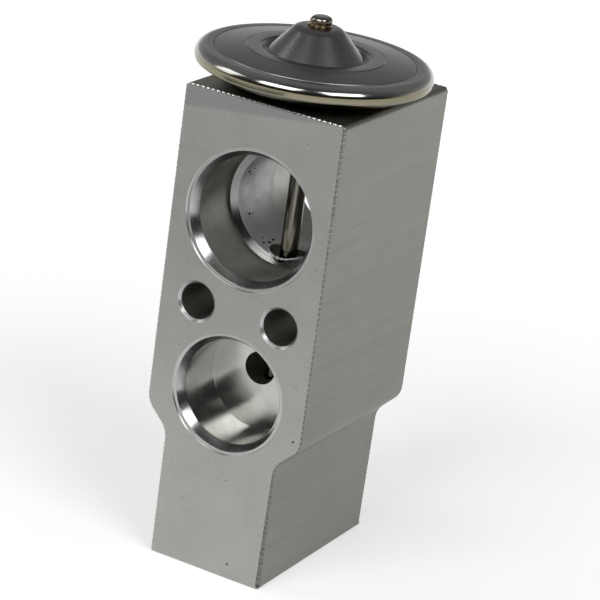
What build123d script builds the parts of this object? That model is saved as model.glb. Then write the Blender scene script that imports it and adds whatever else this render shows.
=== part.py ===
from build123d import *
from math import atan2, radians, sqrt, tan
import os

# Block-type thermostatic expansion valve, in millimetres.
# Z is the valve axis: it runs up through the adjusting screw, the ball, the sensing rod and the
# head. Z = 0 is the bottom of the foot. X runs across the block, and -Y points out of the face
# that carries the outlet port and the wider view of the suction passage.

# Block: a length cut from a bar with shouldered sides
block_width = 32.0
block_depth = 38.9
block_height = 88.7
foot_width = 23.0
axis_setback = 16.25
shoulder_height = 28.65
shoulder_angle = 45.0
shoulder_radius = 4.0
bar_corner_radius = 0.9
edge_break = 0.5

# Suction passage: the same port in both faces, with a narrower bore between them
suction_height = 67.5
suction_ring_radius = 13.0
suction_bore_radius = 11.3
suction_bore_depth = 12.4
suction_inner_radius = 10.0

# Outlet port in the front face
outlet_height = 34.6
outlet_ring_radius = 11.4
outlet_bore_radius = 9.7
outlet_bore_depth = 11.4
outlet_hole_radius = 3.1
outlet_hole_height = 36.6

# Liquid port in the rear face
liquid_height = 27.8
liquid_ring_radius = 9.2
liquid_bore_radius = 7.6
liquid_bore_depth = 12.0
liquid_hole_radius = 2.6
liquid_hole_height = 26.2

# What every port shares: a shallow ring face and a tapered lead for the pipe's seal
ring_depth = 0.25
lead_widening = 0.8
lead_depth = 2.3

# Through holes for the two fixing bolts
bolt_spacing = 17.0
bolt_height = 49.9
bolt_hole_radius = 3.35
bolt_hole_chamfer = 0.5

# Valve seat, ball and chambers on the axis
seat_height = 30.2
seat_mouth_radius = 2.2
orifice_radius = 1.6
ball_radius = 2.5
valve_lift = 0.8
valve_bore_radius = 3.7
chamber_radius = 5.6
chamber_top = 22.8

# Sensing rod, its seal and the washer that keeps the seal in
rod_radius = 1.6
rod_tip_radius = 0.9
rod_tip_length = 4.2
rod_seal_section = 1.9
rod_seal_bore_radius = 3.6
rod_seal_floor = 52.2
retainer_thickness = 0.6
retainer_clearance = 0.2
retainer_notches = 6
retainer_notch_width = 1.1
sensing_well_radius = 4.5

# Ball carrier and the clip that keeps it from buzzing
cup_mouth_radius = 2.1
carrier_cup_radius = 2.8
carrier_cup_height = 2.6
carrier_neck_radius = 1.9
carrier_flange_radius = 4.5
carrier_flange_thickness = 1.4
carrier_flange_base = 20.2
carrier_pilot_length = 2.2
clip_thickness = 0.3
clip_legs = 4
clip_leg_width = 2.6
clip_leg_length = 4.0

# Superheat spring
wire_diameter = 1.1
spring_mean_radius = 3.5
spring_turns = 5.0

# Adjusting screw in the foot
screw_thread_radius = 6.0
screw_thread_length = 4.7
screw_recess = 1.5
screw_hole_chamfer = 0.5
screw_travel = 1.0
screw_neck_length = 4.6
screw_pilot_length = 1.6
screw_seal_section = 1.35
hex_socket_width = 5.0
hex_socket_depth = 3.2

# Head: a dished housing screwed into the block, and a welded cover. Insets count from the rim.
head_radius = 21.25
head_thread_radius = 9.0
head_thread_length = 6.0
neck_bore_radius = 4.6
head_seal_section = 1.6
cup_base_radius = 13.0
cup_base_rounding = 3.0
cup_waist_inset = 3.05
cup_waist_height = 1.9
cup_waist_rounding = 6.0
cup_lip_height = 3.35
cup_lip_rounding = 0.5
cup_rim_inset = 0.15
cup_rim_height = 4.1
cup_wall = 1.2
cup_floor_rounding = 1.0
clamp_width = 3.65
clamp_step = 0.6
diaphragm_thickness = 0.25
diaphragm_dish = 1.0
diaphragm_margin = 0.7
diaphragm_bend = 2.0
pad_radius = 8.5
pad_thickness = 0.8
pad_hub_radius = 3.0
pad_hub_length = 5.0
cover_crest_height = 6.05
cover_rim_rounding = 1.3
cover_skirt = 0.55
cover_wall = 0.9
outer_groove_inset = 3.3
inner_groove_radius = 12.4
groove_depth = 0.16
plate_height = 6.75
moat_radius = 10.6
moat_slope = 0.6
moat_floor_height = 5.9
moat_rounding = 0.4
dome_base_radius = 8.7
dome_base_rounding = 0.7
dome_shoulder_radius = 4.4
dome_height = 11.25
dome_rounding = 2.6
plug_stem_radius = 1.3
plug_neck_radius = 1.9
plug_head_radius = 2.15
plug_head_height = 1.0
plug_height = 13.15
plug_rounding = 0.3

# Clearances
running_clearance = 0.05
seat_gap = 0.02
sliding_gap = 0.03
pilot_clearance = 0.2
thread_run_out = 0.2
groove_play = 0.35
over = 1.0

# Places worked out from the sizes above
front_y = -axis_setback
rear_y = block_depth - axis_setback
front_plane = Plane(origin=(0, front_y, 0), x_dir=(1, 0, 0), z_dir=(0, 1, 0))
rear_plane = Plane(origin=(0, rear_y, 0), x_dir=(-1, 0, 0), z_dir=(0, -1, 0))
ball_height = seat_height + seat_mouth_radius - (ball_radius + seat_gap) * sqrt(2)
cup_apex = ball_height - (ball_radius + seat_gap) * sqrt(2)
cup_top = cup_apex + cup_mouth_radius
rod_bottom = ball_height + ball_radius + seat_gap
flange_top = carrier_flange_base + carrier_flange_thickness
spring_top = carrier_flange_base - clip_thickness - seat_gap
screw_thread_top = screw_recess + screw_thread_length
screw_top = screw_thread_top + screw_neck_length
tapped_depth = screw_thread_top + screw_travel + thread_run_out
groove_bottom = tapped_depth + screw_travel + thread_run_out
groove_width = screw_seal_section + groove_play
spring_bottom = screw_top + seat_gap
spring_inner_radius = spring_mean_radius - wire_diameter / 2
pilot_radius = spring_inner_radius - pilot_clearance
neck_bottom = block_height - head_thread_length
gland_radius = head_thread_radius + head_seal_section + 2 * sliding_gap
cup_waist_radius = head_radius - cup_waist_inset
cup_rim_radius = head_radius - cup_rim_inset
clamp_inner_radius = head_radius - clamp_width
outer_groove_radius = head_radius - outer_groove_inset
clamp_height = block_height + cup_rim_height
diaphragm_centre = clamp_height - diaphragm_dish
pad_top = diaphragm_centre - seat_gap
pad_bottom = pad_top - pad_thickness
cup_floor = pad_bottom - valve_lift - sliding_gap
hub_bottom = pad_bottom - pad_hub_length
rod_top = pad_bottom - seat_gap
dome_top = block_height + dome_height
plug_top = block_height + plug_height


def turned(*corners):
    """Solid turned about Z from (radius, height) corners. A third value rounds its corner."""
    points = [(corner[0], corner[1]) for corner in corners]
    rounds = [corner[2] if len(corner) > 2 else 0 for corner in corners]
    outline = FilletPolyline(*points, radius=rounds, close=True)
    return revolve(Plane.XZ * make_face(outline), Axis.Z)


def o_ring(mean_radius, height, section):
    """Ring of round section about Z."""
    return revolve(Plane.XZ * Pos(mean_radius, height) * Circle(section / 2), Axis.Z)


def place_on(plane, height, sideways=0):
    """Place on a block face at one height, with Z going into the block."""
    return Pos(0, 0, height) * plane.location * Pos(sideways, 0, 0)


def port_cutter(plane, height, ring_radius, bore_radius, depth, floor=()):
    """Cutter for one port: shallow ring face, tapered lead and bore, with a shoulder if floor is given."""
    cutter = turned(
        (0, -over),
        (ring_radius, -over),
        (ring_radius, ring_depth),
        (bore_radius + lead_widening, ring_depth),
        (bore_radius, lead_depth),
        (bore_radius, depth),
        *(floor or [(0, depth)]),
    )
    return place_on(plane, height) * cutter


def drill(plane, height, radius, depth):
    """Cutter for a plain hole of one depth, drilled from a face."""
    return place_on(plane, height) * Pos(0, 0, depth / 2) * Cylinder(radius, depth)


def bar():
    """The shouldered bar before any machining, with its cut edges broken."""
    half = block_width / 2
    foot = foot_width / 2
    slope = (half - foot) * tan(radians(shoulder_angle))
    right = [
        (foot, 0, edge_break),
        (foot, shoulder_height - slope, shoulder_radius),
        (half, shoulder_height, shoulder_radius),
        (half, block_height, bar_corner_radius),
    ]
    left = [(-x, z, rounding) for x, z, rounding in reversed(right)]
    corners = right + left
    outline = FilletPolyline(
        *[(x, z) for x, z, _ in corners],
        radius=[rounding for _, _, rounding in corners],
        close=True,
    )
    profile = Plane.XZ.offset(axis_setback) * make_face(outline)
    body = extrude(profile, block_depth, dir=(0, 1, 0))
    cut_faces = body.faces().filter_by(Axis.Y)
    return chamfer(cut_faces.edges(), edge_break)


def axis_cutter():
    """Every bore on the valve axis, from the foot to the head."""
    return turned(
        (0, -over),
        (screw_thread_radius + screw_hole_chamfer + over, -over),
        (screw_thread_radius, screw_hole_chamfer),
        (screw_thread_radius, tapped_depth),
        (chamber_radius, tapped_depth),
        (chamber_radius, chamber_top - edge_break),
        (valve_bore_radius, chamber_top),
        (valve_bore_radius, seat_height),
        (seat_mouth_radius, seat_height),
        (orifice_radius, seat_height + seat_mouth_radius - orifice_radius),
        (orifice_radius, outlet_hole_height),
        (rod_radius + running_clearance, outlet_hole_height),
        (rod_radius + running_clearance, rod_seal_floor),
        (rod_seal_bore_radius, rod_seal_floor),
        (rod_seal_bore_radius, suction_height),
        (sensing_well_radius, suction_height),
        (sensing_well_radius, neck_bottom - edge_break),
        (head_thread_radius, neck_bottom - edge_break),
        (head_thread_radius, block_height - head_seal_section),
        (gland_radius, block_height - head_seal_section),
        (gland_radius, block_height + over),
        (0, block_height + over),
    )


def bolt_hole_cutter():
    """Cutter for one through bolt hole, with Z as its depth and a chamfer at both mouths."""
    wide = bolt_hole_radius + bolt_hole_chamfer
    return turned(
        (0, -over),
        (wide + over, -over),
        (bolt_hole_radius, bolt_hole_chamfer),
        (bolt_hole_radius, block_depth - bolt_hole_chamfer),
        (wide + over, block_depth + over),
        (0, block_depth + over),
    )


def valve_block():
    """Machined block: suction passage, outlet and liquid ports, bolt holes and axis bores."""
    block = bar() - axis_cutter()
    shoulder_depth = suction_bore_depth + (suction_bore_radius - suction_inner_radius) / 2
    shoulder = [(suction_inner_radius, shoulder_depth), (0, shoulder_depth)]
    for plane in (front_plane, rear_plane):
        block -= port_cutter(
            plane, suction_height, suction_ring_radius, suction_bore_radius, suction_bore_depth, shoulder
        )
    block -= drill(front_plane, suction_height, suction_inner_radius, block_depth)
    block -= port_cutter(
        front_plane, outlet_height, outlet_ring_radius, outlet_bore_radius, outlet_bore_depth
    )
    block -= drill(
        front_plane, outlet_hole_height, outlet_hole_radius, axis_setback + outlet_hole_radius
    )
    block -= port_cutter(
        rear_plane, liquid_height, liquid_ring_radius, liquid_bore_radius, liquid_bore_depth
    )
    block -= drill(rear_plane, liquid_hole_height, liquid_hole_radius, block_depth - axis_setback)
    for side in (-1, 1):
        block -= place_on(front_plane, bolt_height, side * bolt_spacing / 2) * bolt_hole_cutter()
    return block


def sensing_rod():
    """Rod that feels the suction gas and pushes the ball off its seat through a thin tip."""
    tip_top = rod_bottom + rod_tip_length
    return turned(
        (0, rod_bottom),
        (rod_tip_radius, rod_bottom),
        (rod_tip_radius, tip_top),
        (rod_radius, tip_top + rod_radius - rod_tip_radius),
        (rod_radius, rod_top),
        (0, rod_top),
    )


def rod_seal():
    """Seal ring round the rod, at the bottom of its bore."""
    mean = rod_radius + sliding_gap + rod_seal_section / 2
    return o_ring(mean, rod_seal_floor + seat_gap + rod_seal_section / 2, rod_seal_section)


def rod_seal_retainer():
    """Notched washer pushed in above the rod's seal."""
    bottom = rod_seal_floor + rod_seal_section + 2 * seat_gap
    outer = rod_seal_bore_radius - seat_gap
    inner = rod_radius + retainer_clearance
    top = bottom + retainer_thickness
    washer = turned((inner, bottom), (outer, bottom), (outer, top), (inner, top))
    depth = (outer - inner) / 2
    notch = Pos(outer, 0, bottom) * Box(depth, retainer_notch_width, 4 * retainer_thickness)
    for index in range(retainer_notches):
        washer -= Rot(0, 0, index * 360 / retainer_notches) * notch
    return washer


def valve_ball():
    """Ball that closes the orifice."""
    return Pos(0, 0, ball_height) * Sphere(ball_radius)


def ball_carrier():
    """Turned carrier with a cone for the ball, a flange for the spring and a pilot inside it."""
    return turned(
        (0, cup_apex),
        (cup_mouth_radius, cup_top),
        (carrier_cup_radius, cup_top),
        (carrier_cup_radius, cup_top - carrier_cup_height),
        (carrier_neck_radius, cup_top - carrier_cup_height - edge_break),
        (carrier_neck_radius, flange_top),
        (carrier_flange_radius, flange_top),
        (carrier_flange_radius, carrier_flange_base),
        (pilot_radius, carrier_flange_base),
        (pilot_radius, carrier_flange_base - carrier_pilot_length),
        (0, carrier_flange_base - carrier_pilot_length),
    )


def antivibration_clip():
    """Sheet ring under the flange, with legs that rub on the wall of the spring chamber."""
    top = carrier_flange_base - seat_gap / 2
    wall = chamber_radius - running_clearance
    inner = spring_inner_radius
    legs_bottom = top - clip_leg_length
    bell = turned(
        (inner, top - clip_thickness),
        (wall - clip_thickness, top - clip_thickness),
        (wall - clip_thickness, legs_bottom),
        (wall, legs_bottom),
        (wall, top - clip_thickness),
        (wall - clip_thickness, top),
        (inner, top),
    )
    window_height = 4 * clip_leg_length
    window = Cylinder(chamber_radius + over, window_height)
    window -= Cylinder(carrier_flange_radius, window_height)
    for index in range(clip_legs // 2):
        arms = Box(4 * chamber_radius, clip_leg_width, window_height + over)
        window -= Rot(0, 0, (180 + index * 360) / clip_legs) * arms
    return bell - Pos(0, 0, top) * window


def superheat_spring():
    """Coil spring between the adjusting screw and the ball carrier."""
    wire_radius = wire_diameter / 2
    height = spring_top - spring_bottom - wire_diameter
    helix = Helix(height / spring_turns, height, spring_mean_radius)
    path = Pos(0, 0, spring_bottom + wire_radius) * helix
    section = Plane(origin=path @ 0, z_dir=path % 0) * Circle(wire_radius)
    return sweep(section, path=path, is_frenet=True)


def adjusting_screw():
    """Socket screw that sets the spring: thread, neck with a seal groove, and a spring pilot."""
    seal_radius = chamber_radius - 2 * running_clearance
    groove_radius = chamber_radius - screw_seal_section - 2 * sliding_gap
    body = turned(
        (0, screw_recess),
        (screw_thread_radius - sliding_gap, screw_recess, edge_break / 2),
        (screw_thread_radius - sliding_gap, screw_thread_top),
        (seal_radius, screw_thread_top),
        (seal_radius, groove_bottom),
        (groove_radius, groove_bottom),
        (groove_radius, groove_bottom + groove_width),
        (seal_radius, groove_bottom + groove_width),
        (seal_radius, screw_top),
        (pilot_radius, screw_top),
        (pilot_radius, screw_top + screw_pilot_length),
        (0, screw_top + screw_pilot_length),
    )
    socket = RegularPolygon(hex_socket_width / 2, 6, major_radius=False)
    return body - extrude(Pos(0, 0, screw_recess) * socket, hex_socket_depth)


def screw_seal():
    """Seal ring in the screw's groove."""
    mean = chamber_radius - sliding_gap - screw_seal_section / 2
    return o_ring(mean, groove_bottom + groove_width / 2, screw_seal_section)


def head_seal():
    """Seal ring in the block's top, under the head."""
    mean = head_thread_radius + sliding_gap + head_seal_section / 2
    middle = block_height - head_seal_section / 2 - seat_gap / 2
    return o_ring(mean, middle, head_seal_section - seat_gap)


def head_housing():
    """Lower half of the head: a dished cup and the neck that screws into the block."""
    base = block_height
    thread = head_thread_radius - sliding_gap
    slope_inside = cup_waist_radius - 2 * cup_wall
    return turned(
        (neck_bore_radius, neck_bottom),
        (thread, neck_bottom, edge_break),
        (thread, base),
        (cup_base_radius, base, cup_base_rounding),
        (cup_waist_radius, base + cup_waist_height, cup_waist_rounding),
        (cup_rim_radius, base + cup_lip_height, cup_lip_rounding),
        (cup_rim_radius, clamp_height),
        (clamp_inner_radius, clamp_height),
        (clamp_inner_radius, clamp_height - clamp_step, cup_lip_rounding),
        (slope_inside, cup_floor, cup_floor_rounding),
        (neck_bore_radius, cup_floor),
    )


def diaphragm():
    """Thin dished disc, clamped round its rim between the two halves of the head."""
    clamp_top = clamp_height + diaphragm_thickness
    centre_top = diaphragm_centre + diaphragm_thickness
    slope_start = clamp_inner_radius - diaphragm_margin
    flat = pad_radius + diaphragm_margin
    outer = head_radius - cover_skirt - running_clearance
    return turned(
        (0, diaphragm_centre),
        (flat, diaphragm_centre, diaphragm_bend),
        (slope_start, clamp_height, diaphragm_bend),
        (outer, clamp_height),
        (outer, clamp_top),
        (slope_start, clamp_top, diaphragm_bend),
        (flat, centre_top, diaphragm_bend),
        (0, centre_top),
    )


def diaphragm_pad():
    """Stop plate under the diaphragm, with a hub that holds the rod's head."""
    bore = rod_radius + seat_gap
    return turned(
        (0, pad_bottom),
        (bore, pad_bottom),
        (bore, hub_bottom),
        (pad_hub_radius, hub_bottom),
        (pad_hub_radius, pad_bottom),
        (pad_radius, pad_bottom),
        (pad_radius, pad_top, pad_thickness / 2),
        (0, pad_top),
    )


def head_cover():
    """Pressed and welded upper half of the head: rim, ring grooves, moat and dome."""
    base = block_height
    crest = base + cover_crest_height
    plate = base + plate_height
    moat = base + moat_floor_height
    clamp_top = clamp_height + diaphragm_thickness
    skirt_inside = head_radius - cover_skirt
    flank_angle = atan2(dome_top - moat, dome_base_radius - dome_shoulder_radius)
    slant = cover_wall * tan(flank_angle / 2)
    outside = [
        (head_radius, clamp_height),
        (head_radius, crest, cover_rim_rounding),
        (outer_groove_radius + groove_depth, crest - groove_depth),
        (outer_groove_radius, crest - 2 * groove_depth),
        (outer_groove_radius - groove_depth, crest - groove_depth),
        (inner_groove_radius + groove_depth, plate - groove_depth / 2),
        (inner_groove_radius, plate - groove_depth),
        (inner_groove_radius - groove_depth, plate),
        (moat_radius, plate, moat_rounding),
        (moat_radius - moat_slope, moat, moat_rounding),
        (dome_base_radius, moat, dome_base_rounding),
        (dome_shoulder_radius, dome_top, dome_rounding),
        (plug_stem_radius + seat_gap, dome_top),
    ]
    inside = [
        (plug_stem_radius + seat_gap, dome_top - cover_wall),
        (dome_shoulder_radius - slant, dome_top - cover_wall, dome_rounding - cover_wall),
        (dome_base_radius - slant, moat - cover_wall),
        (moat_radius + cover_wall, moat - cover_wall),
        (moat_radius + cover_wall, plate - cover_wall),
        (clamp_inner_radius, crest - groove_depth - cover_wall),
        (clamp_inner_radius, clamp_top),
        (skirt_inside, clamp_top),
        (skirt_inside, clamp_height),
    ]
    return turned(*outside, *inside)


def charge_plug():
    """Pin that closes the filling hole in the dome, with a flat head and a narrower neck."""
    return turned(
        (0, dome_top - cover_wall),
        (plug_stem_radius, dome_top - cover_wall),
        (plug_stem_radius, dome_top),
        (plug_neck_radius, dome_top),
        (plug_neck_radius, plug_top - plug_head_height),
        (plug_head_radius, plug_top - plug_head_height),
        (plug_head_radius, plug_top, plug_rounding),
        (0, plug_top),
    )


PIECES = [
    valve_block,
    sensing_rod,
    rod_seal,
    rod_seal_retainer,
    valve_ball,
    ball_carrier,
    antivibration_clip,
    superheat_spring,
    adjusting_screw,
    screw_seal,
    head_seal,
    head_housing,
    diaphragm,
    diaphragm_pad,
    head_cover,
    charge_plug,
]

os.makedirs("parts", exist_ok=True)
for piece in PIECES:
    export_step(piece(), f"parts/{piece.__name__}.step")
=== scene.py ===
"""Looks of the block-type expansion valve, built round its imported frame.

Sizes are in millimetres in the frame of the CAD model: Z is the valve axis, Z = 0 is the bottom of
the foot, and -Y points out of the face that the photograph shows.
"""

from __future__ import annotations

import logging
import math
import random
from dataclasses import dataclass, field, replace
from enum import Enum, IntEnum

import bmesh
import bpy
from mathutils import Matrix, Vector

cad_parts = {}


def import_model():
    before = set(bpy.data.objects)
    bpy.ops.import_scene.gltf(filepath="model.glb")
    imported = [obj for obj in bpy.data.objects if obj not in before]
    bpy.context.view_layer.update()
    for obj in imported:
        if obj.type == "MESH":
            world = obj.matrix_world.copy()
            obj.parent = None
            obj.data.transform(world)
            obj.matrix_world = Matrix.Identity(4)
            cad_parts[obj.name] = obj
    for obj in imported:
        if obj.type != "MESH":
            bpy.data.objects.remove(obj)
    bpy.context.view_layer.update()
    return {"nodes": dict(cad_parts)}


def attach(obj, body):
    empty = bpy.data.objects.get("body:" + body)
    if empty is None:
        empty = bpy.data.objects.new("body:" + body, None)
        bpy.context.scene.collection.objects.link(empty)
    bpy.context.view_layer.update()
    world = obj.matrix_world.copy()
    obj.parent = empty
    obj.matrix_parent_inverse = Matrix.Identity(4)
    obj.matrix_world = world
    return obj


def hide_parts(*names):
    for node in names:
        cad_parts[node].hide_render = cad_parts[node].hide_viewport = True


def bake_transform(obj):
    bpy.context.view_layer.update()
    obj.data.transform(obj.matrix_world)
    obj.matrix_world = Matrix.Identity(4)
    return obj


LOG = logging.getLogger("expansion_valve")
MM = 0.001
TURNED_FACETS = 160
HEAD_FACETS = 224
SMALL_FACETS = 96
ARC_STEP = math.radians(7.5)
SHARP_ANGLE = math.radians(28)
WELD = 0.002
POLE_WELD = 1e-5
AXIS_RADIUS = 1e-6
STRAIGHT = 1e-4
TANGENT_TURN = 0.25
NOISE_SPAN = (0.3, 0.7)

Colour = tuple[float, float, float]
Point = tuple[float, float, float]
Stops = tuple[tuple[float, float], ...]
Material = bpy.types.Material
Piece = bpy.types.Object
Socket = bpy.types.NodeSocket


class Body(Enum):
    """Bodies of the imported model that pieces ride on."""

    HOUSING = "housing"
    VALVE_PIN = "valve_pin"
    SCREW_CARRIAGE = "screw_carriage"


class Slot(Enum):
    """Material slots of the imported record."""

    BLOCK = "block_aluminium"
    HEAD = "head_steel"
    HOUSING = "housing_steel"
    ROD = "rod_steel"
    SPRING = "spring_steel"


class Face(Enum):
    """The two machined faces of the block that ports are cut in."""

    FRONT = -1
    REAR = 1


class Skin(IntEnum):
    """Kinds of surface on the block, in the order of its material slots."""

    MILLED = 0
    EXTRUDED = 1
    # Darker copy of the broken edge, on the front's right-hand edges: painted shade.
    BROKEN_EDGE = 2
    SHADED_EDGE = 3
    PORT_LEAD = 4
    SUCTION_RING = 5
    SUCTION_WALL = 6
    SUCTION_SHOULDER = 7
    SUCTION_INNER = 8
    OUTLET_RING = 9
    OUTLET_WALL = 10
    LIQUID_WALL = 11
    DRILLED = 12
    PIT = 13


class NodeTree:
    """Short way to write a node tree."""

    def __init__(self, tree: bpy.types.NodeTree) -> None:
        """Keeps the tree that the nodes go in."""
        self.tree = tree

    def node(self, kind: str, *values: object, **settings: object) -> bpy.types.Node:
        """Adds a node and feeds its first inputs.

        Args:
            kind: Type name of the node.
            values: What goes into its enabled inputs, in order; None leaves one as it is.
            settings: Properties of the node.

        Returns:
            The new node.
        """
        made = self.tree.nodes.new(kind)
        for key, value in settings.items():
            setattr(made, key, value)
        for socket, value in zip([s for s in made.inputs if s.enabled], values):
            self.feed(socket, value)
        return made

    def feed(self, socket: Socket, value: object) -> None:
        """Fills an input.

        Args:
            socket: The input.
            value: Socket that is linked to it, or a plain value, or None to leave it as it is.
        """
        if isinstance(value, Socket):
            self.tree.links.new(value, socket)
        elif value is not None:
            socket.default_value = value

    def math(self, operation: str, *values: object) -> Socket:
        """Result of a Math node."""
        return self.node("ShaderNodeMath", *values, operation=operation).outputs[0]

    def vector(self, *parts: object) -> Socket:
        """Vector from its X, Y and Z, where what is left out is 0."""
        return self.node("ShaderNodeCombineXYZ", *parts).outputs[0]

    def axis(self, vector: object, name: str) -> Socket:
        """The X, Y or Z of a vector."""
        return self.node("ShaderNodeSeparateXYZ", vector).outputs[name]

    def length(self, vector: object) -> Socket:
        """Length of a vector."""
        return self.node("ShaderNodeVectorMath", vector, operation="LENGTH").outputs["Value"]

    def swing(self, noise: object, reach: object, middle: object) -> Socket:
        """Value round a middle, which a noise of 0.5 leaves there and reach scales the rest of."""
        return self.math("MULTIPLY_ADD", self.math("SUBTRACT", noise, 0.5), reach, middle)

    def total(self, *parts: tuple[object, float]) -> Socket:
        """Sum of values, each times its weight."""
        total = self.math("MULTIPLY", *parts[0])
        for part in parts[1:]:
            total = self.math("MULTIPLY_ADD", *part, total)
        return total

    def span(
        self, value: object, low: float, high: float, to_low: float = 0.0, to_high: float = 1.0
    ) -> Socket:
        """Maps a value from one span onto another, clamped."""
        ends = (low, high, to_low, to_high)
        return self.node("ShaderNodeMapRange", value, *ends, clamp=True).outputs[0]

    def mix(self, share: object, first: object, second: object) -> Socket:
        """Colour between two colours."""
        pair = [(*c, 1.0) if isinstance(c, tuple) else c for c in (first, second)]
        return self.node("ShaderNodeMix", share, *pair, data_type="RGBA").outputs[2]

    def curve(self, value: object, stops: Stops) -> Socket:
        """Level read off straight lines between stops.

        Args:
            value: Where to read.
            stops: Values, each with its level from 0 to 1.

        Returns:
            The level.
        """
        low, high = stops[0][0], stops[-1][0]
        made = self.node("ShaderNodeValToRGB", self.span(value, low, high))
        elements = made.color_ramp.elements
        elements[0].position, elements[1].position = 0.0, 1.0
        for element, (_, level) in zip(elements, (stops[0], stops[-1])):
            element.color = (level, level, level, 1)
        for at, level in stops[1:-1]:
            elements.new((at - low) / (high - low)).color = (level, level, level, 1)
        return made.outputs[0]


class ShaderTree(NodeTree):
    """Node tree of a material."""

    def __init__(self, name: str) -> None:
        """Makes a material with a Principled shader."""
        self.material = bpy.data.materials.new(name)
        self.material.use_nodes = True
        super().__init__(self.material.node_tree)
        self.shader = self.tree.nodes["Principled BSDF"]

    def place(self, centre: Point = (0, 0, 0), scale: Point = (1, 1, 1)) -> Socket:
        """Where a point of the surface is.

        Args:
            centre: Point that the coordinates count from.
            scale: How much each coordinate is stretched.

        Returns:
            Object coordinates in millimetres.
        """
        coordinates = self.node("ShaderNodeTexCoord").outputs["Object"]
        mapping = self.node("ShaderNodeMapping", coordinates, vector_type="POINT")
        mapping.inputs["Location"].default_value = [-c * s for c, s in zip(centre, scale)]
        mapping.inputs["Scale"].default_value = [s / MM for s in scale]
        return mapping.outputs[0]

    def noise(self, where: object, size: float, detail: float = 3.0, rough: float = 0.55) -> Socket:
        """Noise from 0 to 1 whose patches are about size millimetres."""
        made = self.node("ShaderNodeTexNoise", where, 1 / size, detail, rough)
        return made.outputs["Fac"]

    def waves(self, travel: object, pitch: float) -> Socket:
        """Waves from 0 to 1 that repeat each pitch."""
        wave = self.math("SINE", self.math("MULTIPLY", travel, math.tau / pitch))
        return self.span(wave, -1.0, 1.0)

    def bump(self, height: object, depth: float, below: object = None) -> Socket:
        """Normal of a rough surface.

        Args:
            height: Height from 0 to 1.
            depth: Millimetres that a height of 1 stands for.
            below: Normal that it goes over.

        Returns:
            The bumped normal.
        """
        made = self.node("ShaderNodeBump")
        made.inputs["Strength"].default_value = 1.0
        made.inputs["Distance"].default_value = depth * MM
        self.feed(made.inputs["Height"], height)
        self.feed(made.inputs["Normal"], below)
        return made.outputs[0]

    def finish(
        self, colour: object, roughness: object, normal: object = None, metallic: float = 1.0
    ) -> Material:
        """Feeds the shader.

        Args:
            colour: Colour or socket.
            roughness: Number or socket.
            normal: Socket of the bumped normal.
            metallic: 1 for bare metal, 0 for rubber.

        Returns:
            The finished material.
        """
        if isinstance(colour, tuple):
            colour = (*colour, 1.0)
        self.feed(self.shader.inputs["Base Color"], colour)
        self.feed(self.shader.inputs["Roughness"], roughness)
        self.shader.inputs["Metallic"].default_value = metallic
        self.feed(self.shader.inputs["Normal"], normal)
        return self.material


@dataclass(frozen=True)
class Finish:
    """What every finish has.

    Attributes:
        name: Name of the material.
        colour: Middle colour, linear.
        roughness: Middle roughness.
    """

    name: str
    colour: Colour
    roughness: float

    def material(self) -> Material:
        """Builds the material."""
        raise NotImplementedError

    def tinted(self, tree: ShaderTree, share: object, change: float) -> Socket:
        """The finish's colour, uneven.

        Args:
            tree: The material's tree.
            share: 0 where the colour is darkest, 1 where it is lightest.
            change: How much darker and lighter it gets.

        Returns:
            The colour.
        """
        dark = tuple(c * (1 - change) for c in self.colour)
        light = tuple(min(c * (1 + change), 1.0) for c in self.colour)
        return tree.mix(share, dark, light)


@dataclass(frozen=True)
class MilledFace(Finish):
    """Fine-milled aluminium: a sandy matte face with wide, faint cutter arcs and hairlines, and a
    painted shade, darker and bluer, along its top.

    Attributes:
        grain: Size of the sandy grain.
        grain_depth: Depth of that grain.
        sweep_centre: Point that the cutter arcs run round.
        sweep_pitch: Distance between two arcs.
        shade_top_height: Height on the axis above which the face is painted darker and bluer, a
            painted shade along its top.
        shade_top_fade: Height over which that painted shade starts.
        shade_top_slope: How much the start rises to the right.
        shade_top_tint: How much darker and bluer the painted shade is.
    """

    grain: float = 0.24
    grain_depth: float = 0.008
    sweep_centre: Point = (-60.0, 0.0, 44.0)
    sweep_pitch: float = 0.55
    shade_top_height: float = 86.3
    shade_top_fade: float = 0.6
    shade_top_slope: float = 0.13
    shade_top_tint: Colour = (0.76, 0.78, 0.84)

    def material(self) -> Material:
        """Builds the material."""
        tree = ShaderTree(self.name)
        here = tree.place()
        grain = tree.noise(here, self.grain, 2.0, 0.6)
        clouds = tree.noise(here, 9.0, 2.0)
        arcs = tree.waves(tree.length(tree.place(self.sweep_centre, (1, 0, 1))), self.sweep_pitch)
        hairs = tree.span(tree.noise(tree.place(scale=(0.25, 1, 2.4)), 1.1, 1.0), 0.71, 0.75)
        tone = tree.total((clouds, 0.3), (grain, 0.7))
        colour = self.tinted(tree, tree.span(tone, *NOISE_SPAN), 0.13)
        # Painted shade: the face gets darker and bluer towards its top.
        above = tree.total((tree.axis(here, "Z"), 1.0), (tree.axis(here, "X"), -self.shade_top_slope))
        above = tree.span(above, self.shade_top_height, self.shade_top_height + self.shade_top_fade, 0.0, 0.8)
        last = tuple(c * k for c, k in zip(self.colour, self.shade_top_tint))
        colour = tree.mix(above, colour, last)
        rough = tree.total((grain, 1.0), (hairs, -0.3))
        rough = tree.span(rough, 0.2, 0.8, self.roughness - 0.06, self.roughness + 0.06)
        normal = tree.bump(grain, self.grain_depth, tree.bump(arcs, 0.0008))
        return tree.finish(colour, rough, normal)


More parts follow.
